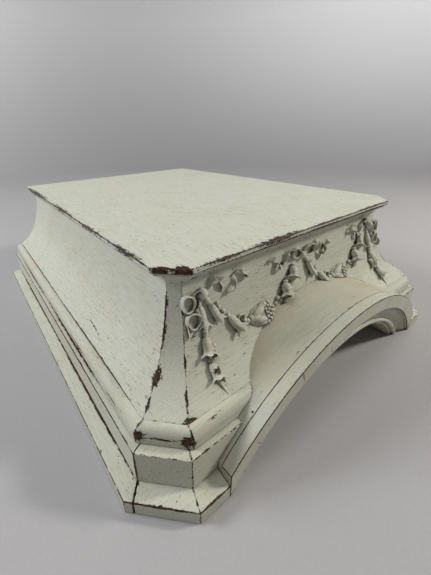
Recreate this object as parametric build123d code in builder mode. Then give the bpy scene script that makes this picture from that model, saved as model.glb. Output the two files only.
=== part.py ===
from build123d import *
import os
from math import sqrt

# Arched wall shelf in painted wood: a flat top on a deep cove, stacked base mouldings with canted
# front corners, and an arched hood in the front. Millimetres, with +X to the right seen from the
# front and -Y to the front. It is drawn with its flat back on y = 0 and its foot on z = 0, and each
# piece is saved moved back, so that the origin is the middle of the shelf's footprint.

# Driving dimensions
top_width = 450.0
top_depth = 600.0
height = 215.0
nosing_height = 7.0
top_thickness = 19.0
field_margin = 45.5  # how far the thick middle of the top lies inside its rim
field_leg = 1.5
rim_round = 2.4

# Heights of the horizontal breaks, and how far each stands out from the rim of the top
cove_top_z, cove_top_out = 193.0, -17.5
cove_knee_z, cove_knee_out = 130.0, 0.0
quirk_z, quirk_out = 85.0, 42.0
bullnose_low_z, bullnose_out = 64.0, 52.5
frieze_low_z, frieze_out = 22.0, 59.5
plinth_z, plinth_out = 18.0, 78.0
cove_inner_top, cove_inner_low = -45.0, 14.0  # the plank's flat inner face, top and bottom
board_inner = 40.5  # inner face of the frieze and plinth boards
bullnose_inner = 24.0
underside_z = height - nosing_height
field_z = height - top_thickness

# Length of each canted corner along either wall, at that break
nosing_leg = 27.0
cove_top_leg = 10.5
quirk_leg = 30.5
bullnose_leg = 39.0
frieze_leg = 38.5
plinth_leg = 51.0
joint_gap = 1.2  # the open joint where a side plinth meets its corner

# Cavetto under the rim
cavetto_out = -4.0
cavetto_lip = 3.0
cavetto_r = 16.0

# Arch: concentric rings about an axis below the floor, stopped at straight legs
arch_axis_z = -149.5
hood_r = 281.0
hood_half = 214.5
hood_skin = 6.0
fascia_r = 261.0
ring_r = 241.0
bead_r = 235.0
soffit_r = 229.0
front_y = -(top_depth + plinth_out)
fascia_thick = 14.0
hood_back_y = -578.0
soffit_back_y = -590.0
former_thick = 18.0
former_gap = 1.0
ring_front = 4.0  # how far each moulding lies behind the fascia's face
ring_back = 23.0
bead_front = 11.0
soffit_front = 14.0
ring_notch = 4.0
ring_hollow_r = 22.0

# Back rails and fixings
rail_thick = 19.0
rail_low_z = 120.0
sill_height = 40.0
screw_spacing = 304.8
screw_z = 165.0
screw_r = 2.5
screw_head_r = 5.0

# Garland
relief = (6.0, 5.0)  # how far the ornaments stand off the cove, outwards and upwards
bow_x, bow_z = 177.0, 176.0
rose_x, rose_z = 85.0, 128.0
bell_width = 12.0
drop_x = 180.0
centre_bow_z = 172.0
end_spread, centre_spread = 18.0, 44.0  # how far a bow's ribbon tails reach

far = 900.0
cutter_margin = 60.0  # how far behind its face a cutting shape starts
ornament_reach = 200.0
diag = 1 / sqrt(2)
os.makedirs("parts", exist_ok=True)


def save(piece, name):
    with BuildPart() as placed:
        add(piece.part.moved(Location((0, (top_depth + plinth_out) / 2, 0))))
    placed.part.label = name
    export_step(placed.part, f"parts/{name}.step")


def mirrored(piece):
    with BuildPart() as twin:
        add(mirror(piece.part, about=Plane.YZ, mode=Mode.PRIVATE))
    return twin


# Each wall is drawn once in its own upright plane, in (out, z): out is the distance beyond the rim of
# the top. The corner between the walls is a third plane, where the same profile is stretched.
side_plane = Plane(origin=(-top_width / 2, 0, 0), x_dir=(-1, 0, 0), z_dir=(0, 1, 0))
front_plane = Plane(origin=(0, -top_depth, 0), x_dir=(0, -1, 0), z_dir=(-1, 0, 0))


def leg_line(out_a, leg_a, out_b, leg_b):
    slope = (leg_b - leg_a) / (out_b - out_a)
    return leg_a - slope * out_a, slope


def cant_plane(leg):
    reach = (top_width / 2 + top_depth - leg[0]) * diag
    return Plane(origin=(-reach * diag, -reach * diag, 0), x_dir=(-diag, -diag, 0), z_dir=(-diag, diag, 0))


def cant_stretch(leg):
    return (2 - leg[1]) * diag


def side_mitre(leg):
    # upright plane through the arris between the side and the corner, facing the corner
    return Plane(origin=(-top_width / 2, -top_depth + leg[0], 0), x_dir=(-1, leg[1] - 1, 0),
                 z_dir=(1 - leg[1], -1, 0))


def front_mitre(leg):
    # upright plane through the arris between the corner and the front, facing the front
    return Plane(origin=(-top_width / 2 + leg[0], -top_depth, 0), x_dir=(leg[1] - 1, -1, 0),
                 z_dir=(1, leg[1] - 1, 0))


def side_piece(draw, leg):
    with BuildPart() as piece:
        with BuildSketch(side_plane):
            draw()
        extrude(amount=-far)
        split(bisect_by=side_mitre(leg), keep=Keep.BOTTOM)
    return piece


def cant_piece(draw, leg):
    with BuildPart() as piece:
        with BuildSketch(cant_plane(leg)):
            draw()
            scale(by=(cant_stretch(leg), 1, 1))
        extrude(amount=far, both=True)
        split(bisect_by=side_mitre(leg), keep=Keep.TOP)
        split(bisect_by=front_mitre(leg), keep=Keep.BOTTOM)
    return piece


def front_piece(draw, leg):
    mitre = front_mitre(leg)
    with BuildPart() as half:
        with BuildSketch(front_plane):
            draw()
        extrude(amount=far, both=True)
        split(bisect_by=mitre, keep=Keep.TOP)
        split(bisect_by=Plane.YZ, keep=Keep.BOTTOM)
    with BuildPart() as piece:
        add(half.part)
        mirror(about=Plane.YZ)
        add(hood_space.part, mode=Mode.SUBTRACT)
    return piece


def left_half(piece):
    with BuildPart() as half:
        add(piece.part)
        split(bisect_by=Plane.YZ, keep=Keep.BOTTOM)
    return half


def closed(*points):
    with BuildLine() as outline:
        Polyline(*points, close=True)
    make_face(outline.edges())


# Arch sections, drawn on upright planes that face the front


def arch_plane(y):
    return Plane(origin=(0, y, 0), x_dir=(1, 0, 0), z_dir=(0, -1, 0))


def arch_outline(radius, half_width):
    # round-headed outline standing on the floor, with straight legs at half_width
    with Locations((0, arch_axis_z)):
        Circle(radius)
    with Locations((0, far / 2)):
        Rectangle(2 * half_width, far, mode=Mode.INTERSECT)


def arch_band(outer_r, outer_half, inner_r, inner_half, back_y, depth):
    with BuildPart() as band:
        with BuildSketch(arch_plane(back_y)):
            arch_outline(outer_r, outer_half)
            with BuildSketch(arch_plane(back_y), mode=Mode.SUBTRACT):
                arch_outline(inner_r, inner_half)
        extrude(amount=depth)
    return band


def arch_ring(draw):
    # a moulding bent round the arch: its section is drawn at the crown, in (y, z)
    with BuildPart() as ring:
        with BuildSketch(Plane.YZ):
            draw()
        revolve(axis=Axis((0, 0, arch_axis_z), (0, 1, 0)))
        split(bisect_by=Plane.XY, keep=Keep.TOP)
    return ring


with BuildPart() as hood_space:
    with BuildSketch(arch_plane(hood_back_y + cutter_margin)):
        arch_outline(hood_r, hood_half)
    extrude(amount=far)

# Top board: a thin rounded rim round a thicker middle that drops inside the cove planks


def top_plan(out, leg):
    half = top_width / 2 + out
    front = -(top_depth + out)
    closed((-half, 0), (-half, front + leg), (-half + leg, front), (half - leg, front),
           (half, front + leg), (half, 0))


with BuildPart() as top_board:
    with BuildSketch(Plane.XY.offset(underside_z)):
        top_plan(0, nosing_leg)
    extrude(amount=nosing_height)
    rim_edges = [e for e in top_board.edges().filter_by(Plane.XY) if e.center().Y < -1]
    fillet(rim_edges, radius=rim_round)
    with BuildSketch(Plane.XY.offset(field_z)):
        top_plan(-field_margin, field_leg)
    extrude(amount=underside_z - field_z)
save(top_board, "top_board")

# Cavetto: the small hollow moulding under the rim
cavetto_leg = leg_line(cove_top_out, cove_top_leg, 0, nosing_leg)


def draw_cavetto():
    with BuildLine() as outline:
        start = (cove_top_out, cove_top_z)
        lip = (cavetto_out, underside_z - cavetto_lip)
        RadiusArc(start, lip, cavetto_r)
        Polyline(lip, (cavetto_out, underside_z), (cove_top_out, underside_z), start)
    make_face(outline.edges())


cavetto_left = side_piece(draw_cavetto, cavetto_leg)
save(cavetto_left, "cavetto_left")
save(mirrored(cavetto_left), "cavetto_right")
cavetto_cant = cant_piece(draw_cavetto, cavetto_leg)
save(cavetto_cant, "cavetto_cant_left")
save(mirrored(cavetto_cant), "cavetto_cant_right")
save(front_piece(draw_cavetto, cavetto_leg), "cavetto_front")

# Cove planks: thick planks with a flat inner face, hollowed outside by two tangent arcs
cove_leg = leg_line(cove_top_out, cove_top_leg, quirk_out, quirk_leg)
cove_upper_mid = (-11.2, 160.8)
cove_lower_mid = (17.3, 104.1)


def cove_curve(shift_out=0.0, shift_z=0.0):
    def at(out, z):
        return (out + shift_out, z + shift_z)

    ThreePointArc(at(cove_top_out, cove_top_z), at(*cove_upper_mid), at(cove_knee_out, cove_knee_z))
    ThreePointArc(at(cove_knee_out, cove_knee_z), at(*cove_lower_mid), at(quirk_out, quirk_z))


def draw_cove():
    with BuildLine() as outline:
        cove_curve()
        Polyline((quirk_out, quirk_z), (cove_inner_low, quirk_z), (cove_inner_top, cove_top_z),
                 (cove_inner_top, underside_z), (cove_top_out, underside_z), (cove_top_out, cove_top_z))
    make_face(outline.edges())


cove_left = side_piece(draw_cove, cove_leg)
save(cove_left, "cove_left")
save(mirrored(cove_left), "cove_right")
cove_corner = cant_piece(draw_cove, cove_leg)
save(cove_corner, "cove_corner_left")
save(mirrored(cove_corner), "cove_corner_right")
save(front_piece(draw_cove, cove_leg), "cove_front")

# Bullnose: a strip with a rounded upper edge, one step below the cove's quirk
bullnose_line = leg_line(quirk_out, quirk_leg, bullnose_out, bullnose_leg)
bullnose_r = bullnose_out - quirk_out


def draw_bullnose():
    with BuildLine() as outline:
        shoulder = (quirk_out, quirk_z)
        belly = (bullnose_out, quirk_z - bullnose_r)
        RadiusArc(shoulder, belly, bullnose_r)
        Polyline(belly, (bullnose_out, bullnose_low_z), (bullnose_inner, bullnose_low_z),
                 (bullnose_inner, quirk_z), shoulder)
    make_face(outline.edges())


# Frieze: a plain upright board that stands a step further out
frieze_line = leg_line(frieze_out, frieze_leg, frieze_out + 1, frieze_leg + 2 - 2 * diag)


def draw_frieze():
    closed((board_inner, frieze_low_z), (frieze_out, frieze_low_z), (frieze_out, bullnose_low_z),
           (board_inner, bullnose_low_z))


for label, draw, line in (("bullnose", draw_bullnose, bullnose_line), ("frieze", draw_frieze, frieze_line)):
    side = side_piece(draw, line)
    corner = cant_piece(draw, line)
    foot = left_half(front_piece(draw, line))
    save(side, f"{label}_left")
    save(mirrored(side), f"{label}_right")
    save(corner, f"{label}_cant_left")
    save(mirrored(corner), f"{label}_cant_right")
    save(foot, f"{label}_front_left")
    save(mirrored(foot), f"{label}_front_right")

# Plinth: the bottom board with a bevelled ledge; each side board runs a little way round the corner
plinth_line = leg_line(frieze_out, frieze_leg, plinth_out, plinth_leg)


def draw_plinth():
    closed((board_inner, 0), (plinth_out, 0), (plinth_out, plinth_z), (frieze_out, frieze_low_z),
           (board_inner, frieze_low_z))


def corner_joint(gap):
    # upright plane square to the corner's face, through the frieze's arris, facing the front
    x = -(top_width / 2 + frieze_out) + gap * diag
    y = -(top_depth + frieze_out) + frieze_leg - gap * diag
    return Plane(origin=(x, y, 0), x_dir=(-diag, -diag, 0), z_dir=(diag, -diag, 0))


plinth_corner = cant_piece(draw_plinth, plinth_line)
with BuildPart() as plinth_return:
    add(plinth_corner.part)
    split(bisect_by=corner_joint(0), keep=Keep.BOTTOM)
with BuildPart() as plinth_left:
    add(side_piece(draw_plinth, plinth_line).part)
    add(plinth_return.part)
save(plinth_left, "plinth_left")
save(mirrored(plinth_left), "plinth_right")
with BuildPart() as plinth_cant:
    add(plinth_corner.part)
    split(bisect_by=corner_joint(joint_gap), keep=Keep.TOP)
save(plinth_cant, "plinth_cant_left")
save(mirrored(plinth_cant), "plinth_cant_right")
plinth_foot = left_half(front_piece(draw_plinth, plinth_line))
save(plinth_foot, "plinth_front_left")
save(mirrored(plinth_foot), "plinth_front_right")

# Arch: the bent hood skin, the flat fascia on its end, and the mouldings that step inwards below it
fascia_back_y = front_y + fascia_thick
skin_depth = hood_back_y - fascia_back_y
hood = arch_band(hood_r, hood_half, hood_r - hood_skin, hood_half - hood_skin, hood_back_y, skin_depth)
save(hood, "arch_hood")
fascia = arch_band(hood_r, hood_half, fascia_r, hood_half, fascia_back_y, fascia_thick)
save(fascia, "arch_fascia")

ring_front_y = front_y + ring_front
ring_back_y = front_y + ring_back
bead_front_y = front_y + bead_front
bead_half = (bead_r - soffit_r) / 2


def draw_ring():
    top = fascia_r + arch_axis_z
    low = ring_r + arch_axis_z
    with BuildLine() as outline:
        lip = (ring_front_y, top - ring_notch)
        Polyline((ring_back_y, low), (ring_back_y, top), (ring_front_y, top), lip)
        RadiusArc(lip, (bead_front_y, low), ring_hollow_r, short_sagitta=True)
        Line((bead_front_y, low), (ring_back_y, low))
    make_face(outline.edges())


def draw_bead():
    top = ring_r + arch_axis_z
    low = bead_r + arch_axis_z
    middle = (top + low) / 2
    with BuildLine() as outline:
        Polyline((bead_front_y, low), (ring_back_y, low), (ring_back_y, top), (bead_front_y, top))
        ThreePointArc((bead_front_y, top), (bead_front_y - bead_half, middle), (bead_front_y, low))
    make_face(outline.edges())


with BuildPart() as cove_ring:
    add(arch_ring(draw_ring).part)
    add(hood.part, mode=Mode.SUBTRACT)
save(cove_ring, "arch_cove_ring")
save(arch_ring(draw_bead), "arch_bead")


def draw_soffit():
    top = bead_r + arch_axis_z
    low = soffit_r + arch_axis_z
    edge_y = front_y + soffit_front
    closed((edge_y, low), (soffit_back_y, low), (soffit_back_y, top), (edge_y, top))


save(arch_ring(draw_soffit), "arch_soffit")

# Formers: the cut boards inside the arch that the skin and the soffit are bent round
former_half = hood_half - hood_skin
for label, back_y in (("front", ring_back_y + former_thick), ("rear", soffit_back_y - former_gap)):
    former = arch_band(hood_r - hood_skin, former_half, bead_r, hood_half, back_y, former_thick)
    save(former, f"arch_former_{label}")

# Rails across the open back; the upper one is screwed to the wall
rail_slope = (cove_inner_low - cove_inner_top) / (cove_top_z - quirk_z)
rail_half_top = top_width / 2 + cove_inner_top
rail_half_low = rail_half_top + (cove_top_z - rail_low_z) * rail_slope
with BuildPart() as back_rail:
    with BuildSketch(arch_plane(0)):
        closed((-rail_half_low, rail_low_z), (rail_half_low, rail_low_z), (rail_half_top, cove_top_z),
               (rail_half_top, field_z), (-rail_half_top, field_z), (-rail_half_top, cove_top_z))
    extrude(amount=rail_thick)
    with Locations(Plane(origin=(0, -rail_thick, screw_z), x_dir=(1, 0, 0), z_dir=(0, -1, 0))):
        with GridLocations(screw_spacing, 1, 2, 1):
            CounterSinkHole(radius=screw_r, counter_sink_radius=screw_head_r)
save(back_rail, "back_rail")

with BuildPart() as back_sill:
    with BuildSketch(arch_plane(0)):
        with Locations((0, sill_height / 2)):
            Rectangle(2 * (top_width / 2 + board_inner), sill_height)
    extrude(amount=rail_thick)
save(back_sill, "back_sill")

# Glue blocks: upright ones behind the canted corners, and a row under the top along each side
corner_block_side = 24.0
inner_leg = frieze_line[0] + frieze_line[1] * board_inner
block_x = -(top_width / 2 + board_inner) + inner_leg / 2
block_y = -(top_depth + board_inner) + inner_leg / 2
with BuildPart() as corner_blocks:
    with BuildSketch(Plane.XY.offset(frieze_low_z)):
        with Locations(Location((block_x, block_y), 45)):
            Rectangle(corner_block_side, corner_block_side, align=(Align.MIN, Align.CENTER))
    extrude(amount=bullnose_low_z - frieze_low_z)
    mirror(about=Plane.YZ)
save(corner_blocks, "corner_glue_blocks")

block_length = 60.0
block_wide = 20.0
block_low_z = 173.0
block_rows = (110, 290, 470)  # distances from the back
block_low_out = cove_inner_top + (cove_top_z - block_low_z) * rail_slope
with BuildPart() as top_blocks:
    for row in block_rows:
        with BuildSketch(side_plane.offset(-row)):
            closed((cove_inner_top, field_z), (cove_inner_top, cove_top_z), (block_low_out, block_low_z),
                   (cove_inner_top - block_wide, field_z))
        extrude(amount=-block_length)
    mirror(about=Plane.YZ)
save(top_blocks, "top_glue_blocks")

# Garland: moulded ornaments glued to the front cove, each one low relief over the cove's curve
with BuildPart() as relief_zone:
    with BuildSketch(front_plane):
        with BuildLine():
            cove_curve()
            cove_curve(*relief)
            Line((quirk_out, quirk_z), (quirk_out + relief[0], quirk_z + relief[1]))
            Line((cove_top_out, cove_top_z), (cove_top_out + relief[0], cove_top_z + relief[1]))
        make_face()
    extrude(amount=top_width / 2, both=True)
    add(hood_space.part, mode=Mode.SUBTRACT)


def ornament(draw, *neighbours):
    with BuildPart() as piece:
        with BuildSketch(arch_plane(cutter_margin - top_depth)):
            draw()
        extrude(amount=ornament_reach)
        add(relief_zone.part, mode=Mode.INTERSECT)
        for neighbour in neighbours:
            add(neighbour.part, mode=Mode.SUBTRACT)
    return piece


def leaf(x, z, length, width, turn):
    with Locations(Location((x, z), turn)):
        Ellipse(length / 2, width / 2)


def draw_bow(x, z, spread):
    # the knot, then for each side an upper loop, a lower loop and two waves of the ribbon's tail,
    # each one given as its place from the knot, length, width and turn
    leaf(x, z, 16, 14, 0)
    petals = ((13, 4, 26, 13, 20), (9, -8, 22, 11, -55), (20 + spread / 4, -1, 24, 9, -15),
              (26 + spread / 2, 2, 22, 8, 20))
    for side in (-1, 1):
        for out, up, length, width, turn in petals:
            leaf(x + side * out, z + up, length, width, side * turn)


def draw_end_bow():
    draw_bow(-bow_x, bow_z, end_spread)


def draw_centre_bow():
    draw_bow(0, centre_bow_z, centre_spread)


def draw_drop():
    # husks that hang one below the other: height of the middle, length and width
    for z, length, width in ((156, 26, 12), (138, 22, 13), (119, 22, 12), (103, 18, 8), (92, 12, 4)):
        leaf(-drop_x, z, length, width, 90)


def draw_swag():
    # husks and bell flowers that hang in a curve from bow to bow, with a rose in the middle
    leaf(-rose_x, rose_z, 34, 26, 20)
    for x, z, length, turn in ((-160, 158, 22, -60), (-150, 143, 26, -55), (-133, 131, 26, -38),
                               (-113, 126, 24, -10), (-60, 133, 26, 25), (-41, 143, 24, 38),
                               (-24, 155, 24, 45)):
        leaf(x, z, length, bell_width, turn)


end_bow = ornament(draw_end_bow)
save(end_bow, "bow_left")
save(mirrored(end_bow), "bow_right")
centre_bow = ornament(draw_centre_bow)
save(centre_bow, "bow_centre")
drop = ornament(draw_drop, end_bow)
save(drop, "drop_left")
save(mirrored(drop), "drop_right")
swag = ornament(draw_swag, end_bow, centre_bow)
save(swag, "swag_left")
save(mirrored(swag), "swag_right")
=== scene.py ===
import math
import random

import bmesh
import bpy
from mathutils import Matrix, Vector
from mathutils.bvhtree import BVHTree


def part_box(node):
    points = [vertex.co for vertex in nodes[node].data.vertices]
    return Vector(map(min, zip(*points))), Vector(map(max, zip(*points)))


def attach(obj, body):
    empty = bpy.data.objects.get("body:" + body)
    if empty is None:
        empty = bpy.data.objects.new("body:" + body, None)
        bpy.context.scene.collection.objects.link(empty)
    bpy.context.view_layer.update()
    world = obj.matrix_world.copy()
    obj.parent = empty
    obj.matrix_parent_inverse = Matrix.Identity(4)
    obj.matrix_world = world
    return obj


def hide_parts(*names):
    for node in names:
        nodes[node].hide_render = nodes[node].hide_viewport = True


# Arched wall shelf: chalk paint rubbed through to red-stained wood.
# Metres; the wall side is +Y and the arch faces -Y.

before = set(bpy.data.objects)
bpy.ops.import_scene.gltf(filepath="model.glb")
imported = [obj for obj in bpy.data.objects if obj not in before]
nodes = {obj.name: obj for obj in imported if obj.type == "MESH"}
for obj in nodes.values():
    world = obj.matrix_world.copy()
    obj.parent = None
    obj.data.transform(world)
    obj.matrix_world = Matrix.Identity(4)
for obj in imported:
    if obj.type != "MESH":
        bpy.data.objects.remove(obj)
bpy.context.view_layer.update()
scene = bpy.context.scene
mm = 0.001
print("frame loaded:", len(nodes), "nodes")


def toLinear(code):
    channels = [int(code[i:i + 2], 16) / 255 for i in (1, 3, 5)]
    return tuple(c / 12.92 if c <= 0.04045 else ((c + 0.055) / 1.055) ** 2.4 for c in channels) + (1.0,)


# adds a shader node: settings are its properties or socket values, links are the sockets that feed it
def addNode(tree, kind, settings=None, links=None):
    node = tree.nodes.new("ShaderNode" + kind)
    for key, value in (settings or {}).items():
        if isinstance(key, str) and hasattr(node, key):
            setattr(node, key, value)
        else:
            node.inputs[key].default_value = value
    for key, source in (links or {}).items():
        tree.links.new(source, node.inputs[key])
    return node


def newMaterial(name):
    material = bpy.data.materials.new(name)
    material.use_nodes = True
    material.node_tree.nodes.clear()
    return material, material.node_tree


def newPiece(name, bm, material, smooth=True):
    mesh = bpy.data.meshes.new(name)
    bm.normal_update()
    bm.to_mesh(mesh)
    bm.free()
    for polygon in mesh.polygons:
        polygon.use_smooth = smooth
    piece = bpy.data.objects.new(name, mesh)
    scene.collection.objects.link(piece)
    piece.data.materials.append(material)
    return piece


# Camera, low over the front left corner
camera = {
    "place": (-0.3365, -0.4468, 0.3261),
    "turn": (63.435, 1.504, -36.620),
    "lens": 18.27,
    "shift": (0.0488, -0.0230),
}
cameraData = bpy.data.cameras.new("camera")
cameraData.lens = camera["lens"]
cameraData.sensor_width = 36
cameraData.sensor_fit = "AUTO"
cameraData.shift_x, cameraData.shift_y = camera["shift"]
cameraData.clip_start = 0.01
cameraObject = bpy.data.objects.new("camera", cameraData)
cameraObject.location = camera["place"]
cameraObject.rotation_euler = [math.radians(a) for a in camera["turn"]]
scene.collection.objects.link(cameraObject)
scene.camera = cameraObject

# Studio: a pale floor that sweeps up into a round wall, and soft lamps over it
studio = {
    # metres: flat floor, radius of the curve up to the wall, top of the wall
    "floorRadius": 2.3,
    "sweep": 1.0,
    "wallTop": 3.2,
    "floorRings": 6,
    "sweepRings": 12,
    "sides": 96,
    "paper": ("#a9a8a9", "#b0afb0"),
    "fibre": 4,  # mm, far coarser than paper fibre so that it shows at all
    "glowWay": (0.6, 0.8, 0.0),  # from the middle of the floor to the wall that glows
    "glowNear": (0.6, 2.0),  # metres that way between no glow and all of it
    "glowHigh": (0.0, 1.3, 0.2),  # metres up between the dim foot of the wall and its top, share at the foot
    "wallGlow": (0.25, 0.10, 1.4),  # least glow, its growth to either side, metres across to the least
    "world": "#eef0f4",
    "worldStrength": 0.05,
    # name: place, aim, size in metres, watts, colour
    "lamps": {
        "leftWindow": ((-1.8, 1.0, 1.5), (0, 0, 0.1), (0.9, 0.8), 41, "#fbfcff"),
        "rightWindow": ((1.5, -1.2, 1.4), (0, -0.2, 0.1), (0.3, 0.3), 32, "#fffaf2"),
        "ceiling": ((-0.35, -0.25, 2.3), (-0.1, -0.1, 0), (0.8, 0.8), 10.5, "#ffffff"),
    },
}


def makeSweep():
    bm = bmesh.new()
    floor, sweep, bends = studio["floorRadius"], studio["sweep"], studio["sweepRings"]
    profile = [(floor * i / studio["floorRings"], 0.0) for i in range(1, studio["floorRings"] + 1)]
    for i in range(1, bends + 1):
        a = math.radians(90 * i / bends)
        profile.append((floor + sweep * math.sin(a), sweep * (1 - math.cos(a))))
    profile.append((profile[-1][0], studio["wallTop"]))
    count = studio["sides"]
    turns = [2 * math.pi * i / count for i in range(count)]
    loops = []
    for radius, height in profile:
        loops.append([bm.verts.new((radius * math.cos(t), radius * math.sin(t), height)) for t in turns])
    centre = bm.verts.new((0, 0, 0))
    for i in range(count):
        bm.faces.new((centre, loops[0][i], loops[0][(i + 1) % count]))
    for low, high in zip(loops, loops[1:]):
        for i in range(count):
            bm.faces.new((low[i], high[i], high[(i + 1) % count], low[(i + 1) % count]))
    # matt seamless background paper: even, with the faintest fibre
    material, tree = newMaterial("mattBackgroundPaper")
    place = addNode(tree, "TexCoord").outputs["Object"]
    fibre = addNode(tree, "TexNoise", {"Scale": 1 / (studio["fibre"] * mm), "Detail": 3.0}, {"Vector": place})
    dark, light = studio["paper"]
    tint = addNode(tree, "Mix", {"data_type": "RGBA", 6: toLinear(dark), 7: toLinear(light)},
                   {0: fibre.outputs["Fac"]})
    # painted light: the wall behind has an emission glow of its own, stronger farther that way, higher up and
    # farther to either side, standing in for lamps above and to both sides
    parts = addNode(tree, "SeparateXYZ", {}, {0: place})
    away = addNode(tree, "VectorMath", {"operation": "DOT_PRODUCT", 1: studio["glowWay"]}, {0: place})
    near, far = studio["glowNear"]
    behind = addNode(tree, "MapRange", {1: near, 2: far}, {0: away.outputs["Value"]})
    least, growth, middle = studio["wallGlow"]
    offMiddle = addNode(tree, "Math", {"operation": "SUBTRACT", 1: middle}, {0: parts.outputs["X"]})
    squared = addNode(tree, "Math", {"operation": "POWER", 1: 2.0}, {0: offMiddle.outputs[0]})
    aside = addNode(tree, "Math", {"operation": "MULTIPLY_ADD", 1: growth, 2: least}, {0: squared.outputs[0]})
    foot, top, dim = studio["glowHigh"]
    high = addNode(tree, "MapRange", {1: foot, 2: top, 3: dim, 4: 1.0}, {0: parts.outputs["Z"]})
    upper = addNode(tree, "Math", {"operation": "MULTIPLY"}, {0: behind.outputs[0], 1: high.outputs[0]})
    glow = addNode(tree, "Math", {"operation": "MULTIPLY"}, {0: upper.outputs[0], 1: aside.outputs[0]})
    shader = addNode(tree, "BsdfPrincipled",
                     {"Roughness": 0.9, "IOR": 1.45, "Specular IOR Level": 0.2,
                      "Emission Color": toLinear("#ffffff")},
                     {"Base Color": tint.outputs[2], "Emission Strength": glow.outputs[0]})
    addNode(tree, "OutputMaterial", {}, {"Surface": shader.outputs["BSDF"]})
    newPiece("sweep", bm, material)


def makeLamps():
    world = bpy.data.worlds.new("studioAir")
    world.use_nodes = True
    background = world.node_tree.nodes["Background"]
    background.inputs["Color"].default_value = toLinear(studio["world"])
    background.inputs["Strength"].default_value = studio["worldStrength"]
    scene.world = world
    for name, (place, aim, size, watts, colour) in studio["lamps"].items():
        lamp = bpy.data.lights.new(name, "AREA")
        lamp.shape = "RECTANGLE"
        lamp.size, lamp.size_y = size
        lamp.energy = watts
        lamp.color = toLinear(colour)[:3]
        lampObject = bpy.data.objects.new(name, lamp)
        lampObject.location = place
        lampObject.rotation_euler = (Vector(aim) - Vector(place)).to_track_quat("-Z", "Y").to_euler()
        scene.collection.objects.link(lampObject)


makeSweep()
makeLamps()
scene.view_settings.view_transform = "Standard"
print("studio ready")

# Wear on each kind of board. "rub" is how far the arrises are rubbed, "warmth" how yellow the coat has
# gone and "rich" how red the bare wood shows. "places" are where the paint is rubbed through: start and
# end in mm, half width in mm, strength. Each is a long soft spot that the brush marks break up.
topBoard = {
    "along": "y", "rub": 0.42, "warmth": 0.12, "rich": 0.75,
    "places": (
        ((-120, -260, 214.5), (-30, -260, 215), 3.8, 0.85),
        ((-185, -261, 214.5), (-125, -261, 215), 2.8, 0.72),
        ((-212, -250, 212.5), (-196, -262, 212.5), 5.5, 1.2),
        ((-226, -236, 212.5), (-214, -248, 212.5), 4.6, 1.2),
        ((-225, -225, 214.5), (-225, -140, 215), 3.6, 0.72),
        ((-225, -130, 214.5), (-225, -30, 215), 3.4, 0.66),
        ((-224, -20, 214.8), (-224, 120, 215), 3.8, 0.66),
        ((-224, 130, 214.8), (-224, 330, 215), 5.0, 0.75),
        ((-30, -260, 214.8), (80, -260, 214.8), 1.5, 0.8),
        ((80, -260, 214.8), (205, -260, 214.8), 1.5, 0.8),
        ((-50, -261.5, 209.8), (80, -261.5, 209.8), 1.5, 1.0),
        ((60, -261.5, 209.8), (205, -261.5, 209.8), 1.5, 0.9),
        ((-225, -230, 208.5), (-225, 330, 208.5), 1.2, 0.95),
        ((225, -220, 214.8), (225, 60, 215), 2.4, 0.7),
        ((225, 40, 214.8), (225, 330, 215), 2.8, 0.65),
        ((213, -249, 213), (200, -261, 213), 3.4, 0.9),
        ((-195, -261, 208.5), (-20, -261, 208.5), 1.2, 0.95),
    ),
}
cove = {
    "rub": 0.28, "warmth": (0.15, 0.2),  # side, front and cants
    "places": (
        ((-209.2, -234.5, 180), (-225.5, -245, 129), 2.2, 1.0),
        ((-233.5, -250.3, 116), (-246, -259, 100), 4.2, 1.0),
        ((-252, -262.6, 96), (-262, -269, 88), 2.2, 0.75),
        ((-200, -248, 168), (-201, -250, 161), 1.2, 0.7),
        ((-210.2, -264, 125), (-215, -271, 112), 1.3, 0.95),
        ((-221.5, -280, 102), (-232, -296, 90), 1.4, 0.95),
        ((-225, -302, 85.5), (-242, -300, 85.5), 2.4, 0.9),
        ((-266.4, -240, 85.3), (-266.4, -20, 85.3), 1.3, 1.2),
        ((-266.4, 0, 85.3), (-266.4, 330, 85.3), 1.2, 1.1),
        ((-256, -150, 92), (-250, -90, 96), 0.9, 0.55),
        ((233.5, -250.3, 118), (244, -257.5, 102), 2.6, 0.9),
        ((210.2, -264, 125), (218, -275, 106), 1.3, 0.9),
        ((266.4, -220, 85.3), (266.4, 300, 85.3), 1.2, 0.95),
    ),
}
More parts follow.
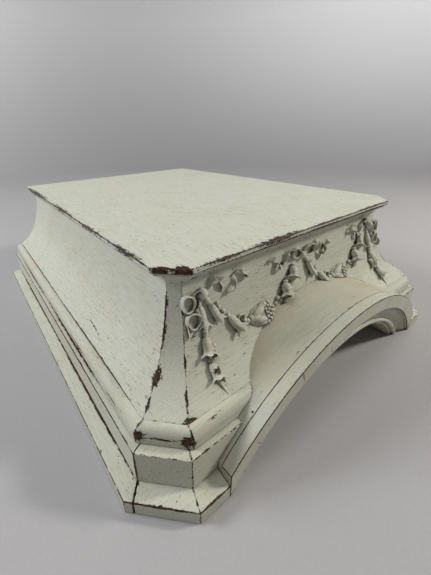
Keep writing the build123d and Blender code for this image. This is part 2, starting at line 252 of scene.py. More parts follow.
mouldings = {
    "rub": (0.74, 0.42, 0.62), "warmth": (0.25, 0.25, 0.3), "rich": (1.0, 0.7, 1.0),  # side, cants, front
    "places": (
        ((-277, -274, 80), (-272, -280, 69), 5.0, 1.1),
        ((-247, -308, 81), (-240, -314, 67), 5.2, 1.1),
        ((-277.5, -140, 72), (-277.5, -80, 72), 1.8, 1.0),
        ((-277.8, -200, 65), (-277.8, 40, 65), 1.5, 1.15),
        ((-277.8, 20, 65), (-277.8, 300, 65), 1.1, 1.0),
        ((-277.5, -235, 74), (-277.5, -205, 74), 1.4, 0.9),
        ((-284.5, -230, 63.6), (-284.5, 50, 63.6), 1.0, 0.9),
        ((-284.8, -280, 22.2), (-284.8, 20, 22.2), 1.5, 1.2),
        ((-284.8, 0, 22.2), (-284.8, 330, 22.2), 1.3, 1.1),
        ((-269, -282.5, 73.8), (-249, -302.5, 73.8), 1.3, 1.0),
        ((-223, -309, 81.5), (-195, -307, 83.5), 0.9, 0.9),
        ((-300, -291, 17.8), (-256, -335, 17.8), 1.5, 0.78),
        ((-250, -339, 17.8), (-216, -339, 17.8), 1.5, 0.75),
        ((-284.5, -282, 60), (-284.5, -282, 24), 1.3, 1.1),
        ((277, -274, 79), (273, -279, 70), 3.6, 1.0),
        ((245, -309, 80), (240, -314, 68), 2.6, 0.95),
        ((277.8, -120, 65), (277.8, 220, 65), 1.3, 1.0),
        ((284.8, -260, 22.2), (284.8, 300, 22.2), 1.3, 1.0),
    ),
}
arch = {
    "axis": 149.5,  # mm that the centre of the arch lies below the floor
    "radius": 270,  # mm, the arc along which the brush marks are laid out
    "hoodRub": 0.2, "hoodWarmth": 0.75,
    "bandRub": 1.05, "bandWarmth": 0.35,
}
print("wear places listed")

# Chalk paint brushed thick over mahogany-stained wood, then rubbed back: a dull creamy white with
# brush furrows and specks, and broken red-brown lines where the arrises came through.
paint = {
    "coat": ("#b9bdad", "#c9ccc0"),  # in a furrow, on a ridge
    "warm": "#bdb69c",  # where it has yellowed
    "thin": "#8d8a7a",  # where it was dragged thin
    "tick": "#57483a",
    # grime with painted shade, for corners and the folds of the ornament
    "grimeAndShade": "#3f3629",
    # painted highlight for the crests of the ornament
    "crestHighlight": "#dcdccf",
    "wood": ("#1b0f08", "#7b4829"),
    # mm across and along the brush; a real furrow is about 0.5 mm wide, drawn coarse enough to show
    "furrow": (1.6, 26),
    "grain": (1.6, 52),
    "tickSize": (0.9, 9.0),
    "patch": (3.2, 9),
    # mm
    "blotch": 55,
    "grit": 1.6,
    "speckGap": 19,
    "grimeAndShadeReach": 5.5,
    "edgeReach": 2.4,
    "thickness": 0.35,
    "ridge": 0.10,
    "sand": 0.12,
    "speckSize": 0.075,  # of the gap between specks, for the largest
    "speckless": 0.66,  # share of places that get no speck
    "brushTilt": (0.05, 0.04, 0.06),  # radians, since no stroke is quite true
    "tickTilt": (0.10, 0.08, 0.12),
    # radians, for strokes that cross a board
    "slant": {"x": (0.6, 0.0, 0.0), "y": (0.0, 0.6, 0.0), "z": (0.0, 0.6, 0.5)},
    "shelter": (0.6, 0.12, 0.6),  # open enough for none of the grime and painted shade, closed enough for all of it, how much that is
    "spotSize": (1.3, 2.0),  # how far a rubbed place fades past its ends and its sides
    "spotPush": 1.5,
    "roughness": (0.5, 0.72),
    "bump": 0.7,
    "ior": 1.46,  # chalk paint under a trace of wax
    "specular": 0.35,
}


def makePaint(name, along, rub, places=(), warmth=0.2, rich=1.0, bent=False, modelled=False, shelter=None):
    p = paint
    material, tree = newMaterial(name)
    place = addNode(tree, "TexCoord").outputs["Object"]
    board = place
    if bent:
        # unrolls the arch, so that the brush marks follow its bend
        parts = addNode(tree, "SeparateXYZ", {}, {0: place})
        rise = addNode(tree, "Math", {"operation": "ADD", 1: arch["axis"] * mm}, {0: parts.outputs["Z"]})
        turn = addNode(tree, "Math", {"operation": "ARCTAN2"}, {0: parts.outputs["X"], 1: rise.outputs[0]})
        length = addNode(tree, "Math", {"operation": "MULTIPLY", 1: arch["radius"] * mm},
                         {0: turn.outputs[0]})
        bend = addNode(tree, "CombineXYZ", {}, {0: length.outputs[0], 1: parts.outputs["Y"]})
        board = bend.outputs[0]

    # marks per metre on each axis, for marks of this size in mm across and along the brush
    def marks(size, crowding=1.0):
        return [crowding / (size[axis == along] * mm) for axis in "xyz"]

    lie = addNode(tree, "Mapping", {"Scale": marks(p["furrow"]), "Rotation": p["brushTilt"]},
                  {"Vector": board})
    furrows = addNode(tree, "TexNoise", {"Scale": 1.0, "Detail": 4.0, "Roughness": 0.6},
                      {"Vector": lie.outputs[0]})
    blotches = addNode(tree, "TexNoise", {"Scale": 1 / (p["blotch"] * mm), "Detail": 3.0}, {"Vector": place})
    # here and there the brush went across the board on a slant
    crossLie = addNode(tree, "Mapping", {"Scale": marks(p["furrow"], 0.9), "Rotation": p["slant"][along]},
                       {"Vector": board})
    crossed = addNode(tree, "TexNoise", {"Scale": 1.3, "Detail": 3.0}, {"Vector": crossLie.outputs[0]})
    patchy = addNode(tree, "MapRange", {1: 0.42, 2: 0.58}, {0: blotches.outputs["Fac"]})
    strokeMix = addNode(tree, "Mix", {"data_type": "FLOAT"},
                        {0: patchy.outputs[0], 2: furrows.outputs["Fac"], 3: crossed.outputs["Fac"]})
    strokes = addNode(tree, "Math", {"operation": "MULTIPLY", 1: 2.0}, {0: strokeMix.outputs[0]})
    grit = addNode(tree, "TexNoise", {"Scale": 1 / (p["grit"] * mm), "Detail": 4.0, "Roughness": 0.7},
                   {"Vector": place})
    tone = addNode(tree, "MapRange", {1: 0.75, 2: 1.25}, {0: strokes.outputs[0]})
    furrowTint, ridgeTint = p["coat"]
    coat = addNode(tree, "Mix", {"data_type": "RGBA", 6: toLinear(furrowTint), 7: toLinear(ridgeTint)},
                   {0: tone.outputs[0]})
    yellowed = addNode(tree, "MapRange", {1: 0.35, 2: 0.7, 3: warmth * 0.4, 4: min(1, warmth * 1.8)},
                       {0: blotches.outputs["Fac"]})
    aged = addNode(tree, "Mix", {"data_type": "RGBA", 7: toLinear(p["warm"])},
                   {0: yellowed.outputs[0], 6: coat.outputs[2]})
    # hairlines where a stiff brush dragged the coat thin
    dragged = addNode(tree, "MapRange", {1: 0.66, 2: 0.74, 3: 0.0, 4: 0.4}, {0: strokeMix.outputs[0]})
    drawn = addNode(tree, "Mix", {"data_type": "RGBA", 7: toLinear(p["thin"])},
                    {0: dragged.outputs[0], 6: aged.outputs[2]})
    # short dark ticks, in patches, where a stiff brush skipped over the stain
    tickLie = addNode(tree, "Mapping", {"Scale": marks(p["tickSize"]), "Rotation": p["tickTilt"]},
                      {"Vector": board})
    tickNoise = addNode(tree, "TexNoise", {"Scale": 1.0, "Detail": 1.0}, {"Vector": tickLie.outputs[0]})
    tickPatch = addNode(tree, "MapRange", {1: 0.45, 2: 0.65, 3: -0.05, 4: 0.05}, {0: blotches.outputs["Fac"]})
    tickLevel = addNode(tree, "Math", {"operation": "ADD"},
                        {0: tickNoise.outputs["Fac"], 1: tickPatch.outputs[0]})
    ticks = addNode(tree, "MapRange", {1: 0.70, 2: 0.76, 3: 0.0, 4: 0.75}, {0: tickLevel.outputs[0]})
    ticked = addNode(tree, "Mix", {"data_type": "RGBA", 7: toLinear(p["tick"])},
                     {0: ticks.outputs[0], 6: drawn.outputs[2]})
    # painted shade with brown grime: darker where ambient occlusion finds corners and recesses closed in
    reach = addNode(tree, "AmbientOcclusion", {"samples": 6, "Distance": p["grimeAndShadeReach"] * mm})
    openFrom, closedFrom, most = shelter or p["shelter"]
    grimeAndShadeDepth = addNode(tree, "MapRange", {1: openFrom, 2: closedFrom, 3: 0.0, 4: most},
                         {0: reach.outputs["AO"]})
    grimyAndShaded = addNode(tree, "Mix", {"data_type": "RGBA", 7: toLinear(p["grimeAndShade"])},
                    {0: grimeAndShadeDepth.outputs[0], 6: ticked.outputs[2]})
    shade = grimyAndShaded.outputs[2]
    if modelled:
        # painted shade with some dirt in the folds of the ornament, and a painted highlight on its crests,
        # both read from the pointiness of the mesh
        crestOf = addNode(tree, "NewGeometry").outputs["Pointiness"]
        foldShade = addNode(tree, "MapRange", {1: 0.497, 2: 0.468, 3: 0.0, 4: 0.9}, {0: crestOf})
        crestHighlight = addNode(tree, "MapRange", {1: 0.504, 2: 0.535, 3: 0.0, 4: 0.75}, {0: crestOf})
        foldShaded = addNode(tree, "Mix", {"data_type": "RGBA", 7: toLinear(p["grimeAndShade"])},
                         {0: foldShade.outputs[0], 6: shade})
        highlightedCrests = addNode(tree, "Mix", {"data_type": "RGBA", 7: toLinear(p["crestHighlight"])},
                        {0: crestHighlight.outputs[0], 6: foldShaded.outputs[2]})
        shade = highlightedCrests.outputs[2]
    # small dark specks: pinholes where the stain shows
    cells = addNode(tree, "TexVoronoi", {"Scale": 1 / (p["speckGap"] * mm)}, {"Vector": place})
    chosen = addNode(tree, "SeparateColor", {}, {0: cells.outputs["Color"]})
    size = addNode(tree, "MapRange", {1: p["speckless"], 2: 1.0, 3: 0.0, 4: p["speckSize"]},
                   {0: chosen.outputs[0]})
    ragged = addNode(tree, "Math", {"operation": "MULTIPLY_ADD", 1: 0.05, 2: -0.025},
                     {0: grit.outputs["Fac"]})
    offset = addNode(tree, "Math", {"operation": "ADD"}, {0: cells.outputs["Distance"], 1: ragged.outputs[0]})
    speck = addNode(tree, "Math", {"operation": "LESS_THAN"}, {0: offset.outputs[0], 1: size.outputs[0]})
    # how near an arris the point lies: there the rounded normal leaves the true one
    geometry = addNode(tree, "NewGeometry")
    rounded = addNode(tree, "Bevel", {"samples": 6, "Radius": p["edgeReach"] * mm})
    facing = addNode(tree, "VectorMath", {"operation": "DOT_PRODUCT"},
                     {0: rounded.outputs[0], 1: geometry.outputs["True Normal"]})
    near = addNode(tree, "MapRange", {1: 1.0, 2: 0.86, 3: 0.0, 4: 0.9}, {0: facing.outputs["Value"]})
    arris = addNode(tree, "Attribute", {"attribute_name": "arris"})
    edge = addNode(tree, "Math", {"operation": "MAXIMUM"}, {0: near.outputs[0], 1: arris.outputs["Fac"]})
    edgeRub = addNode(tree, "Math", {"operation": "MULTIPLY", 1: rub}, {0: edge.outputs[0]})
    total = edgeRub.outputs[0]
    pastEnds, pastSides = p["spotSize"]
    for start, end, wide, strength in places:
        a, b = Vector(start) * mm, Vector(end) * mm
        half = (b - a).length / 2 * pastEnds
        side = wide * mm * pastSides
        turn = (b - a).to_track_quat("X", "Z").to_euler()
        spotLie = addNode(tree, "Mapping",
                          {"vector_type": "TEXTURE", "Location": (a + b) / 2, "Rotation": turn,
                           "Scale": (half, side, side)}, {"Vector": place})
        spot = addNode(tree, "TexGradient", {"gradient_type": "SPHERICAL"}, {"Vector": spotLie.outputs[0]})
        level = addNode(tree, "Math", {"operation": "MULTIPLY", 1: strength * p["spotPush"]},
                        {0: spot.outputs["Fac"]})
        total = addNode(tree, "Math", {"operation": "ADD"}, {0: total, 1: level.outputs[0]}).outputs[0]
    # where the coat held: patches a few millimetres long that run with the brush, and crumbs at their rims
    heldLie = addNode(tree, "Mapping", {"Scale": marks(p["patch"])}, {"Vector": board})
    held = addNode(tree, "TexNoise", {"Scale": 1.0, "Detail": 5.0, "Roughness": 0.75},
                   {"Vector": heldLie.outputs[0]})
    patches = addNode(tree, "MapRange", {"clamp": False, 1: 0.34, 2: 0.66, 3: 0.0, 4: 1.1},
                      {0: held.outputs["Fac"]})
    crumbs = addNode(tree, "MapRange", {"clamp": False, 1: 0.3, 2: 0.7, 3: -0.25, 4: 0.3},
                     {0: grit.outputs["Fac"]})
    coatHold = addNode(tree, "Math", {"operation": "ADD"}, {0: patches.outputs[0], 1: crumbs.outputs[0]})
    hold = addNode(tree, "Math", {"operation": "SUBTRACT"}, {0: total, 1: coatHold.outputs[0]})
    bare = addNode(tree, "MapRange", {"interpolation_type": "SMOOTHSTEP", 1: -0.05, 2: 0.05},
                   {0: hold.outputs[0]})
    worn = addNode(tree, "Math", {"operation": "MAXIMUM"}, {0: bare.outputs[0], 1: speck.outputs[0]})
    # the stained wood underneath, with its own grain, nearly black in the thin lines
    grainLie = addNode(tree, "Mapping", {"Scale": marks(p["grain"])}, {"Vector": board})
    grain = addNode(tree, "TexNoise", {"Scale": 1.0, "Detail": 6.0}, {"Vector": grainLie.outputs[0]})
    glowing = addNode(tree, "MapRange", {1: 0.95, 2: 1.5, 3: 0.15, 4: rich}, {0: total})
    lively = addNode(tree, "MapRange", {1: 0.35, 2: 0.68}, {0: grain.outputs["Fac"]})
    depth = addNode(tree, "Math", {"operation": "MULTIPLY"}, {0: lively.outputs[0], 1: glowing.outputs[0]})
    darkWood, redWood = p["wood"]
    wood = addNode(tree, "Mix", {"data_type": "RGBA", 6: toLinear(darkWood), 7: toLinear(redWood)},
                   {0: depth.outputs[0]})
    surface = addNode(tree, "Mix", {"data_type": "RGBA"}, {0: worn.outputs[0], 6: shade, 7: wood.outputs[2]})
    smooth, rough = p["roughness"]
    dull = addNode(tree, "MapRange", {1: 0.3, 2: 0.7, 3: smooth, 4: rough}, {0: grit.outputs["Fac"]})
    # height in mm: furrows and grit stand in the coat, and the coat stands proud of the bare wood
    ridges = addNode(tree, "Math", {"operation": "MULTIPLY", 1: p["ridge"]}, {0: strokes.outputs[0]})
    sand = addNode(tree, "Math", {"operation": "MULTIPLY_ADD", 1: p["sand"]},
                   {0: grit.outputs["Fac"], 2: ridges.outputs[0]})
    coatTop = addNode(tree, "Math", {"operation": "MULTIPLY_ADD", 1: -p["thickness"]},
                      {0: worn.outputs[0], 2: sand.outputs[0]})
    bump = addNode(tree, "Bump", {"Strength": p["bump"], "Distance": mm}, {"Height": coatTop.outputs[0]})
    shader = addNode(tree, "BsdfPrincipled", {"IOR": p["ior"], "Specular IOR Level": p["specular"]},
                     {"Base Color": surface.outputs[2], "Roughness": dull.outputs[0],
                      "Normal": bump.outputs[0]})
    addNode(tree, "OutputMaterial", {}, {"Surface": shader.outputs["BSDF"]})
    return material


# Sawn softwood with a thin brown stain, left bare inside the carcass: rough, with dark grain lines
carcass = {
    "wood": ("#6d4a34", "#a9835f"),
    "grain": (70, 5, 5),  # mm, length and width of a growth-ring streak
    "saw": 1.2,  # mm between saw marks
    "roughness": (0.65, 0.85),
    "relief": 0.4,  # mm
}


def makeBareWood():
    material, tree = newMaterial("sawnStainedPine")
    place = addNode(tree, "TexCoord").outputs["Object"]
    lie = addNode(tree, "Mapping", {"Scale": [1 / (size * mm) for size in carcass["grain"]]},
                  {"Vector": place})
    rings = addNode(tree, "TexNoise", {"Scale": 1.0, "Detail": 5.0, "Distortion": 0.6},
                    {"Vector": lie.outputs[0]})
    saw = addNode(tree, "TexNoise", {"Scale": 1 / (carcass["saw"] * mm), "Detail": 3.0}, {"Vector": place})
    tone = addNode(tree, "MapRange", {1: 0.3, 2: 0.7}, {0: rings.outputs["Fac"]})
    dark, light = carcass["wood"]
    wood = addNode(tree, "Mix", {"data_type": "RGBA", 6: toLinear(dark), 7: toLinear(light)},
                   {0: tone.outputs[0]})
    smooth, coarse = carcass["roughness"]
    rough = addNode(tree, "MapRange", {1: 0.3, 2: 0.7, 3: smooth, 4: coarse}, {0: saw.outputs["Fac"]})
    height = addNode(tree, "Math", {"operation": "ADD"}, {0: rings.outputs["Fac"], 1: saw.outputs["Fac"]})
    bump = addNode(tree, "Bump", {"Strength": 0.5, "Distance": carcass["relief"] * mm},
                   {"Height": height.outputs[0]})
    shader = addNode(tree, "BsdfPrincipled", {"IOR": 1.5},
                     {"Base Color": wood.outputs[2], "Roughness": rough.outputs[0],
                      "Normal": bump.outputs[0]})
    addNode(tree, "OutputMaterial", {}, {"Surface": shader.outputs["BSDF"]})
    return material


sideWarmth, frontWarmth = cove["warmth"]
topPaint = makePaint("chalkPaintTop", **topBoard)
sidePaint = makePaint("chalkPaintSideBoards", "y", cove["rub"], cove["places"], sideWarmth)
frontPaint = makePaint("chalkPaintFrontBoards", "x", cove["rub"], cove["places"], frontWarmth)
cantPaint = makePaint("chalkPaintCants", "z", cove["rub"], cove["places"], frontWarmth)
mouldingPaints = []
for label, along, rub, warmth, rich in zip(("Side", "Cant", "Front"), "yxx", mouldings["rub"],
                                           mouldings["warmth"], mouldings["rich"]):
    name = f"chalkPaint{label}Mouldings"
    mouldingPaints.append(makePaint(name, along, rub, mouldings["places"], warmth, rich))
mouldingSidePaint, mouldingCantPaint, mouldingFrontPaint = mouldingPaints
hoodPaint = makePaint("chalkPaintHood", "x", arch["hoodRub"], warmth=arch["hoodWarmth"], bent=True)
archPaint = makePaint("chalkPaintArchMouldings", "x", arch["bandRub"], warmth=arch["bandWarmth"], bent=True)
bareWood = makeBareWood()
print("paints mixed")

# Joinery: each painted board gets its arrises softened, as many coats and much handling leave them
joinery = {
    # mm
    "arris": 0.9,
    "cavettoArris": 0.5,
    "archArris": 0.7,
    "weld": 0.005,
    "segments": 3,
    # degrees
    "sharpAngle": 27,
    "flatAngle": 0.8,
    "filletTilt": (0.3, 0.9),  # upright part of the normal on the rounded rim of the top
}


def softenBoard(name, material, arris=None, fillets=False, tight=False):
    bm = bmesh.new()
    bm.from_mesh(nodes[name].data)
    bmesh.ops.remove_doubles(bm, verts=bm.verts, dist=joinery["weld"] * mm)
    bmesh.ops.dissolve_limit(bm, angle_limit=math.radians(joinery["flatAngle"]), verts=bm.verts,
                             edges=bm.edges)
    bmesh.ops.connect_verts_concave(bm, faces=bm.faces)
    limit = math.radians(joinery["sharpAngle"])
    sharp = [e for e in bm.edges if len(e.link_faces) == 2 and e.calc_face_angle() > limit]
    worn = bm.faces.layers.float.new("arris")
    made = bmesh.ops.bevel(bm, geom=sharp, offset=(arris or joinery["arris"]) * mm,
                           segments=joinery["segments"], profile=0.5, affect="EDGES", clamp_overlap=tight)
    for face in made["faces"]:
        face[worn] = 1.0
    if fillets:
        bm.normal_update()
        least, most = joinery["filletTilt"]
        for face in bm.faces:
            if least < abs(face.normal.z) < most:
                face[worn] = 1.0
    piece = newPiece(f"{name}_painted", bm, material)
    weights = piece.modifiers.new("flatFaces", "WEIGHTED_NORMAL")
    weights.keep_sharp = True
    weights.weight = 100
    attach(piece, "root")
    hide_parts(name)
    return piece


softenBoard("top_board", topPaint, fillets=True)
for hand in ("left", "right"):
    softenBoard(f"cove_{hand}", sidePaint)
    softenBoard(f"cove_corner_{hand}", cantPaint)
    softenBoard(f"cavetto_{hand}", sidePaint, arris=joinery["cavettoArris"])
    softenBoard(f"cavetto_cant_{hand}", sidePaint, arris=joinery["cavettoArris"])
    for label in ("bullnose", "frieze", "plinth"):
        softenBoard(f"{label}_{hand}", mouldingSidePaint)
        softenBoard(f"{label}_cant_{hand}", mouldingCantPaint)
        softenBoard(f"{label}_front_{hand}", mouldingFrontPaint)
softenBoard("cove_front", frontPaint)
softenBoard("cavetto_front", frontPaint, arris=joinery["cavettoArris"])
softenBoard("arch_hood", hoodPaint)
for label in ("fascia", "cove_ring", "bead", "soffit"):
    softenBoard(f"arch_{label}", archPaint, arris=joinery["archArris"], tight=label != "fascia")
for name in ("arch_former_front", "arch_former_rear", "back_rail", "back_sill", "corner_glue_blocks",
             "top_glue_blocks"):
    nodes[name].data.materials.clear()
    nodes[name].data.materials.append(bareWood)
print("boards softened")

# Garland: moulded ornaments. Each is worked flat, in millimetres across and up the front with its
# height off the ground, then bent over the cove, fused and rounded by the thick paint.
garland = {
    "skin": 0.42,  # mm, how finely a fused ornament keeps its shape
    "sink": 1.5,  # mm that each ornament is let into the cove
    # mm: how wide a band lies and how far it stands up
    "ribbon": (8.5, 2.0),
    "loopBand": (1.9, 6.5),
    "mouthBand": (1.8, 5.0),
    "dripBand": (4.5, 3.5),
    "ribbonHollow": 1.2,
    "ribbonTwist": 62,  # degrees to either side
    "ribbonFold": 28,  # mm from one twist to the next
    "ribbonTaper": 0.1,
    "dripTaper": 0.8,
    "measured": (80, 193),  # mm, the heights between which the cove's curve is read off
    "pitch": 172,  # mm from one swag to the next: both run the same way
    # paths and knots are (across, up, height off the cove), and knots have half sizes too
    "endKnot": ((-176, 176, 4), (6, 6.5, 6.5)),
    "centreKnot": ((-7, 173, 4), (4.5, 5, 5)),
    "endLoops": (
        [(-187, 169, 4), (-189, 176, 6), (-196, 180, 6), (-200, 178, 5), (-201, 170, 4), (-198, 163, 4),
         (-191, 163, 3)],
        [(-185, 149, 4), (-185, 156, 6), (-191, 160, 6), (-198, 159, 5), (-200, 152, 4), (-197, 146, 4),
         (-191, 144, 3)],
    ),
    "endTails": (
        [(-178, 177, 4), (-184, 180, 6), (-189, 175, 5)],
        [(-179, 172, 4), (-184, 165, 6), (-187, 158, 5)],
        [(-198, 150, 4), (-201, 144, 6), (-199, 138, 3)],
        [(-168, 178, 2), (-163, 186, 4), (-156, 188, 8), (-150, 184, 7), (-147, 174, 2), (-143, 166, 4),
         (-137, 168, 8), (-132, 176, 4), (-127, 184, 3), (-120, 185, 7), (-112, 178, 6), (-108, 176, 2)],
    ),
    "centreLoops": (
        [(-8, 175, 3), (-14, 182, 5), (-23, 186, 7), (-30, 182, 6), (-26, 174, 4), (-16, 171, 2)],
        [(-5, 175, 3), (2, 182, 5), (12, 184, 7), (19, 180, 6), (17, 172, 4), (6, 170, 2)],
    ),
    "centreTails": (
        [(-26, 179, 2), (-33, 184, 7), (-39, 182, 6), (-42, 174, 2), (-48, 168, 5), (-54, 170, 8),
         (-58, 178, 3), (-66, 182, 6), (-72, 179, 2)],
        [(16, 178, 2), (24, 183, 7), (29, 178, 5), (31, 168, 2), (37, 163, 5), (43, 166, 8), (48, 174, 3),
         (55, 178, 6), (60, 172, 2)],
    ),
    # bells that hang from a bow, one below the other: crown, mouth, width
    "bells": (
        ((-174, 172, 3), (-166, 161, 4), 7), ((-169, 165, 4), (-160, 142, 6), 9.5),
        ((-148, 144, 3), (-135, 123, 7), 11.5), ((-25, 166, 3), (-33, 150, 7), 14),
        ((-46, 151, 4), (-51, 132, 8), 16.5),
    ),
    # small balls strung between the bells: across, up, height, size
    "balls": (
        (-153, 149, 4, 2.8), (-157, 155, 3, 2.2), (-158, 160, 3, 2.0), (-127, 129, 5, 3.0),
        (-122, 127, 4, 3.0), (-35, 144, 4, 3.0), (-42, 152, 3, 2.4), (-53, 127, 4, 3.6),
        (-60, 131, 3, 2.8), (-65, 134, 3.5, 2.8), (-70, 129, 3, 2.6),
    ),
    "husks": (
        ((-180, 168, 2), (-181, 142, 5), 11), ((-181, 136, 3), (-186, 115, 6), 12.5),
        ((-179, 127, 3), (-180, 110, 5), 9), ((-185, 112, 3), (-187, 95, 6), 12),
    ),
    "mouthRing": [(-137, 131, 4), (-133, 137, 5), (-127, 136, 5), (-127, 131, 4)],
    "dropBalls": ((-181, 138, 4, 3.0), (-176, 121, 4, 2.6), (-184, 113, 4, 2.8)),
    "rightDropIn": 8,  # mm: the right drop was glued on a little nearer the middle
    "drip": [(-187, 97, 3), (-185, 91, 2.5), (-183, 84, 1)],
    "rose": (-98, 126.5, 20.0, 11.5),  # across, up, half length, half height
    "roseDeep": 7.0,
    # petals from the middle of the rose: across, up, height, turn in degrees, half sizes
    "petals": (
        (-6, 4, 5.5, 18, (11, 5.0, 4.5)), (-5, -4, 5.0, -14, (12, 4.6, 4.5)), (-11, 0, 5.5, 4, (8, 4.0, 4.5)),
        (2, 8.5, 3.5, 8, (9, 3.2, 5.0)), (0, -9, 3.0, -6, (11, 3.0, 4.5)), (-17, 0, 3, 0, (4.5, 5.0, 5.0)),
    ),
    "bead": 2.1,
    "beadPitch": 4.9,
    "beadStray": 0.6,
    # a bell from stem to lip and back inside: share of its length, share of its half width
    "bell": (
        (0.0, 0.20), (0.03, 0.42), (0.09, 0.50), (0.15, 0.40), (0.19, 0.46), (0.28, 0.72), (0.42, 0.86),
        (0.58, 0.88), (0.70, 0.80), (0.80, 0.84), (0.90, 1.10), (0.97, 1.42), (1.0, 1.46), (0.99, 1.30),
        (0.92, 0.94), (0.80, 0.62), (0.66, 0.58), (0.5, 0.2),
    ),
    "lobes": 5,
    # places where the moulding is chipped to the wood, as on the boards
    "chips": (
        ((-183, -285, 110), (-184, -288, 104), 5.0, 1.3),
    ),
    "rub": 0.12,
    "warmth": 0.3,
    "shelter": (0.92, 0.42, 1.0),  # grime and painted shade lie deep in the folds, so they start on barely closed ground
}

coveTree = BVHTree.FromPolygons([v.co for v in nodes["cove_left"].data.vertices],
                                [p.vertices for p in nodes["cove_left"].data.polygons])
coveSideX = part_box("top_board")[0].x
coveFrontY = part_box("top_board")[0].y


# how far the cove stands out beyond the rim of the top, at a height
def coveReach(z):
    hit = coveTree.ray_cast(Vector((-1.0, 0.0, z)), Vector((1, 0, 0)))[0]
    return coveSideX - hit.x if hit else 0.0


lowest, highest = garland["measured"]
reachTable = {step: coveReach(step * mm) for step in range(lowest, highest + 1)}


def coveSurface(z):
    step = min(max(z / mm, lowest), highest - 1)
    low = int(step)
    part = step - low
    return reachTable[low] * (1 - part) + reachTable[low + 1] * part


# bends a flat place (across, up, height) in mm over the front cove
def onCove(point):
    z = point[1] * mm
    reach = coveSurface(z)
    slope = (coveSurface(z + mm) - coveSurface(z - mm)) / (2 * mm)
    normal = Vector((0, -1, -slope)).normalized()
    base = Vector((point[0] * mm, coveFrontY - reach, z))
    return base + normal * (point[2] - garland["sink"]) * mm


# passes a smooth line through the control points
def smoothPath(points, steps=6, closed=False):
    points = [Vector(p) for p in points]
    count = len(points)
    path = []
    for i in range(count if closed else count - 1):
        if closed:
            a, b, c, d = (points[(i + k) % count] for k in (-1, 0, 1, 2))
        else:
            a, b, c, d = (points[min(max(i + k, 0), count - 1)] for k in (-1, 0, 1, 2))
        for step in range(steps):
            t = step / steps
            path.append(0.5 * ((2 * b) + (c - a) * t + (2 * a - 5 * b + 4 * c - d) * t * t
                               + (3 * b - a - 3 * c + d) * t ** 3))
    if not closed:
        path.append(points[-1])
    return path


# sweeps an oval along a flat path: wide lies along the ground, deep stands up from it;
# hollow sinks the middle of its upper face, so that the rims of a ribbon catch the light
def sweepBand(bm, path, wide, deep, sides=16, closed=False, taper=0.0, hollow=0.0, twist=0.0):
    rings = []
    last = len(path) - 1
    gone = 0.0
    for i, centre in enumerate(path):
        gone += (centre - path[i - 1]).length if i else 0.0
        if closed:
            run = path[(i + 1) % len(path)] - path[i - 1]
        else:
            run = path[min(i + 1, last)] - path[max(i - 1, 0)]
        run = run.normalized()
        across = run.cross(Vector((0, 0, 1)))
        across = across.normalized() if across.length > 0.01 else Vector((1, 0, 0))
        lift = across.cross(run).normalized()
        roll = math.radians(twist) * math.sin(2 * math.pi * gone / garland["ribbonFold"])
        across, lift = (across * math.cos(roll) + lift * math.sin(roll),
                        lift * math.cos(roll) - across * math.sin(roll))
        shrink = 1 - taper * (i / last)
        ring = []
        for k in range(sides):
            a = 2 * math.pi * k / sides
            rise = math.sin(a) * deep / 2 - hollow * max(0.0, math.sin(a)) ** 1.5
            place = centre + (across * math.cos(a) * wide / 2 + lift * rise) * shrink
            ring.append(bm.verts.new(place))
        rings.append(ring)
    pairs = list(zip(rings, rings[1:])) + ([(rings[-1], rings[0])] if closed else [])
    for low, high in pairs:
        for k in range(sides):
            bm.faces.new((low[k], low[(k + 1) % sides], high[(k + 1) % sides], high[k]))
    if not closed:
        bm.faces.new(rings[0][::-1])
        bm.faces.new(rings[-1])


# a bell flower lying on its side: narrow at the stem, five lobes round an open mouth
def addBell(bm, stem, mouth, width):
    stem, mouth = Vector(stem), Vector(mouth)
    run = mouth - stem
    axis = run.normalized()
    across = axis.cross(Vector((0, 0, 1))).normalized()
    lift = across.cross(axis)
    sides = 30
    rings = []
    for along, size in garland["bell"]:
        ring = []
        for k in range(sides):
            a = 2 * math.pi * k / sides
            flare = max(0.0, along - 0.6) / 0.4
            wave = math.cos(garland["lobes"] * a)
            lobe = 1 + (0.05 * along + 0.16 * flare) * wave
            tip = 0.05 * run.length * flare * wave
            radius = width / 2 * size * lobe
            place = stem + axis * (along * run.length + tip)
            place += across * math.cos(a) * radius + lift * math.sin(a) * radius * 0.85
            ring.append(bm.verts.new(place))
        rings.append(ring)
    for low, high in zip(rings, rings[1:]):
        for k in range(sides):
            bm.faces.new((low[k], low[(k + 1) % sides], high[(k + 1) % sides], high[k]))
    bm.faces.new(rings[0][::-1])
    bm.faces.new(rings[-1])


def addBall(bm, centre, radii):
    made = bmesh.ops.create_uvsphere(bm, u_segments=20, v_segments=12, radius=1.0)
    for vert in made["verts"]:
        vert.co = Vector((vert.co.x * radii[0], vert.co.y * radii[1], vert.co.z * radii[2])) + Vector(centre)


# a rose lying on its side: a closed cup of petals at the left, beads crowding its mouth at the right
def addRose(bm, x, z, wide, high):
    deep = garland["roseDeep"]
    addBall(bm, (x, z, 1), (wide, high, deep))
    for across, up, lift, turn, radii in garland["petals"]:
        made = bmesh.ops.create_uvsphere(bm, u_segments=20, v_segments=12, radius=1.0)
        lean = Matrix.Rotation(math.radians(turn), 4, "Z")
        for vert in made["verts"]:
            local = Vector((vert.co.x * radii[0], vert.co.y * radii[1], vert.co.z * radii[2]))
            vert.co = lean @ local + Vector((x + across, z + up, lift))
    dice = random.Random(5)
    pitch, stray = garland["beadPitch"], garland["beadStray"]
    for column in range(4):
        for row in range(-2, 3):
            across = 4 + pitch * column + dice.uniform(-stray, stray)
            up = pitch * (row + 0.5 * (column % 2)) + dice.uniform(-stray, stray)
            left = 1 - (across / (wide + 2)) ** 2 - (up / (high + 2)) ** 2
            if left > 0:
                addBall(bm, (x + across, z + up, 1.8 + deep * math.sqrt(left)), (garland["bead"],) * 3)


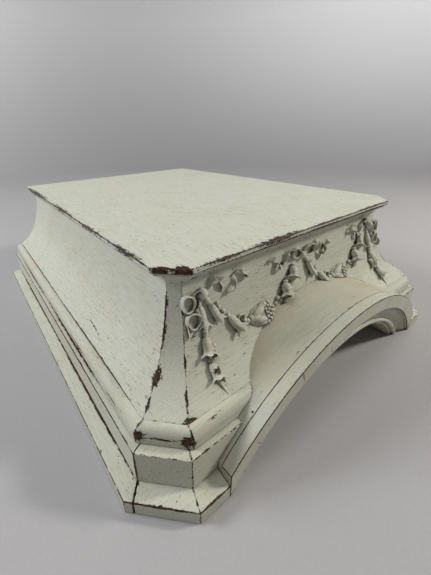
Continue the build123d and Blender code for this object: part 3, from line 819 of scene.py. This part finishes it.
# loops stand on edge as closed rings; tails are flat ribbons that twist as they run
def addRibbons(bm, loops, tails):
    for path in loops:
        sweepBand(bm, smoothPath(path, closed=True), *garland["loopBand"], closed=True)
    for path in tails:
        sweepBand(bm, smoothPath(path), *garland["ribbon"], taper=garland["ribbonTaper"],
                  hollow=garland["ribbonHollow"], twist=garland["ribbonTwist"])


def addStrung(bm, bells, balls):
    for crown, mouth, width in bells:
        addBell(bm, crown, mouth, width)
    for x, z, height, size in balls:
        addBall(bm, (x, z, height), (size, size, size))


def buildOrnament(name, fill, slide=0, mirror=False):
    bm = bmesh.new()
    fill(bm)
    for vert in bm.verts:
        x, z, h = vert.co
        side = -1 if mirror else 1
        vert.co = onCove((side * (x + slide), z, max(h, -0.5)))
    if mirror:
        bmesh.ops.reverse_faces(bm, faces=bm.faces)
    piece = newPiece(f"{name}_moulded", bm, ornamentPaint)
    fuse = piece.modifiers.new("fuse", "REMESH")
    fuse.mode = "VOXEL"
    fuse.voxel_size = garland["skin"] * mm
    fuse.use_smooth_shade = True
    soften = piece.modifiers.new("thickPaint", "SMOOTH")
    soften.factor = 0.5
    soften.iterations = 1
    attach(piece, "root")
    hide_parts(name)
    return piece


def fillEndBow(bm):
    addRibbons(bm, garland["endLoops"], garland["endTails"])
    addBall(bm, *garland["endKnot"])


def fillCentreBow(bm):
    addRibbons(bm, garland["centreLoops"], garland["centreTails"])
    addBall(bm, *garland["centreKnot"])


def fillDrop(bm):
    addStrung(bm, garland["husks"], garland["dropBalls"])
    sweepBand(bm, smoothPath(garland["drip"]), *garland["dripBand"], taper=garland["dripTaper"])


def fillSwag(bm):
    addStrung(bm, garland["bells"], garland["balls"])
    sweepBand(bm, smoothPath(garland["mouthRing"]), *garland["mouthBand"])
    addRose(bm, *garland["rose"])


ornamentPaint = makePaint("chalkPaintMouldedResin", "x", garland["rub"], garland["chips"], garland["warmth"],
                          modelled=True, shelter=garland["shelter"])
buildOrnament("bow_left", fillEndBow)
buildOrnament("bow_right", fillEndBow, mirror=True)
buildOrnament("bow_centre", fillCentreBow)
for hand, right in (("left", False), ("right", True)):
    buildOrnament(f"drop_{hand}", fillDrop, slide=garland["rightDropIn"] if right else 0, mirror=right)
    buildOrnament(f"swag_{hand}", fillSwag, slide=garland["pitch"] if right else 0)
print("garland moulded")
